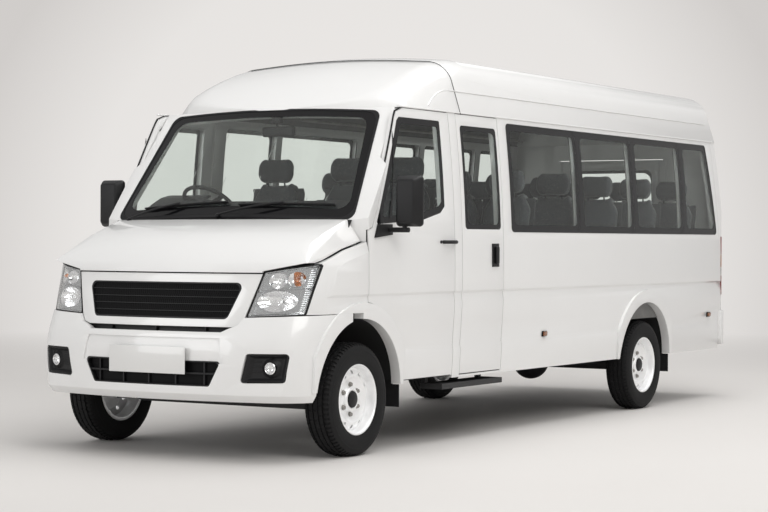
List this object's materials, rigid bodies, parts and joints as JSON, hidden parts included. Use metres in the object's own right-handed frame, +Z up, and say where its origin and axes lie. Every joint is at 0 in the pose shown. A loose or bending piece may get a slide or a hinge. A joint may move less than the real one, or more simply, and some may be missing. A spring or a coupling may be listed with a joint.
{
  "type": "minibus",
  "caption": "Long high-roof minibus with a short sloping bonnet, hinged cab doors, side entry door, rear emergency door, steered front wheels and rows of seats behind a band of windows.",
  "frame": {"origin": "on the ground under the middle of the bounding box", "axes": "+X points forward to the bumper, +Y to the vehicle's left, +Z up; the wheels turn about lines along Y"},
  "size_m": [6.8345, 2.5636, 2.62],
  "materials": {
    "body_paint": "gloss",
    "bumper_plastic": "gloss",
    "black_trim": "grained",
    "glass_tint": "tinted",
    "screen_glass": "clear",
    "lamp_glass": "clear",
    "tail_red": "gloss",
    "chassis_black": "satin",
    "steel_wheel": "satin",
    "tyre": "matte",
    "cast": "raw",
    "exhaust_steel": "dull",
    "rubber": "matte",
    "dash_plastic": "grained",
    "seat_fabric": "woven",
    "floor_mat": "matte",
    "housing_black": "matte"
  },
  "bodies": {
    "body": {"chassis_frame": "chassis_black", "front_carrier": "housing_black", "radiator": "housing_black", "floor": "floor_mat", "wheel_housings": "housing_black", "body_side_left": "body_paint", "body_side_right": "body_paint", "roof": "body_paint", "roof_cap": "body_paint", "windscreen_frame": "body_paint", "windscreen": "screen_glass", "front_wings": "body_paint", "nose_panel": "bumper_plastic", "grille": "black_trim", "headlamps": "lamp_glass", "front_bumper": "bumper_plastic", "side_glass": "glass_tint", "rear_panel": "body_paint", "rear_bumper": "bumper_plastic", "tail_lamps": "tail_red", "step_board": "chassis_black", "mud_flaps": "rubber", "engine": "cast", "dashboard": "dash_plastic", "cab_seats": "seat_fabric", "passenger_seats": "seat_fabric", "front_axle": "chassis_black", "rear_axle": "chassis_black", "leaf_springs": "chassis_black", "exhaust": "exhaust_steel", "fuel_tank": "chassis_black"},
    "bonnet": {"bonnet": "body_paint"},
    "front_door_left": {"front_door_left": "body_paint", "front_window_left": "glass_tint", "mirror_left": "black_trim"},
    "front_door_right": {"front_door_right": "body_paint", "front_window_right": "glass_tint", "mirror_right": "black_trim"},
    "passenger_door": {"passenger_door": "body_paint", "passenger_door_window": "glass_tint"},
    "rear_door": {"rear_door": "body_paint", "rear_door_window": "glass_tint"},
    "steering_wheel": {"steering_wheel": "black_trim"},
    "knuckle_left": {"knuckle_left": "cast"},
    "knuckle_right": {"knuckle_right": "cast"},
    "wheel_front_left": {"rim_front_left": "steel_wheel", "tyre_front_left": "tyre"},
    "wheel_front_right": {"rim_front_right": "steel_wheel", "tyre_front_right": "tyre"},
    "wheel_rear_left": {"rim_rear_left": "steel_wheel", "tyre_rear_left": "tyre"},
    "wheel_rear_right": {"rim_rear_right": "steel_wheel", "tyre_rear_right": "tyre"}
  },
  "joints": [
    {"name": "steering_wheel_turn", "type": "hinge", "parent": "body", "child": "steering_wheel", "pos_m": [2.21, -0.42, 1.57], "axis": [-0.6157, 0, 0.788], "range_deg": [-480, 480]},
    {"name": "steer_left", "type": "hinge", "parent": "body", "child": "knuckle_left", "pos_m": [2.61, 0.79, 0.35], "axis": [0, 0, 1], "range_deg": [-32, 32]},
    {"name": "steer_right", "type": "hinge", "parent": "body", "child": "knuckle_right", "pos_m": [2.61, -0.79, 0.35], "axis": [0, 0, 1], "range_deg": [-32, 32]},
    {"name": "spin_front_left", "type": "hinge", "parent": "knuckle_left", "child": "wheel_front_left", "pos_m": [2.61, 0.9245, 0.35], "axis": [0, 1, 0], "continuous": true},
    {"name": "spin_front_right", "type": "hinge", "parent": "knuckle_right", "child": "wheel_front_right", "pos_m": [2.61, -0.9245, 0.35], "axis": [0, 1, 0], "continuous": true},
    {"name": "spin_rear_left", "type": "hinge", "parent": "body", "child": "wheel_rear_left", "pos_m": [-1.68, 0.9245, 0.35], "axis": [0, 1, 0], "continuous": true},
    {"name": "spin_rear_right", "type": "hinge", "parent": "body", "child": "wheel_rear_right", "pos_m": [-1.68, -0.9245, 0.35], "axis": [0, 1, 0], "continuous": true},
    {"name": "bonnet_lift", "type": "hinge", "parent": "body", "child": "bonnet", "pos_m": [2.58, 0, 1.5], "axis": [0, -1, 0], "range_deg": [0, 50]},
    {"name": "front_door_left_swing", "type": "hinge", "parent": "body", "child": "front_door_left", "pos_m": [2.52, 1.036, 1.3], "axis": [0, 0, -1], "range_deg": [0, 68]},
    {"name": "front_door_right_swing", "type": "hinge", "parent": "body", "child": "front_door_right", "pos_m": [2.52, -1.036, 1.3], "axis": [0, 0, 1], "range_deg": [0, 68]},
    {"name": "passenger_door_swing", "type": "hinge", "parent": "body", "child": "passenger_door", "pos_m": [1.33, 1.036, 1.3], "axis": [0, 0, -1], "range_deg": [0, 85]},
    {"name": "rear_door_swing", "type": "hinge", "parent": "body", "child": "rear_door", "pos_m": [-3.30401, 0.5, 1.4], "axis": [0.0872, 0, 0.9962], "range_deg": [-100, 0]}
  ],
  "couplings": [
    {"joint": "steer_left", "follows": "steering_wheel_turn", "ratio": 0.066667},
    {"joint": "steer_right", "follows": "steering_wheel_turn", "ratio": 0.066667}
  ]
}
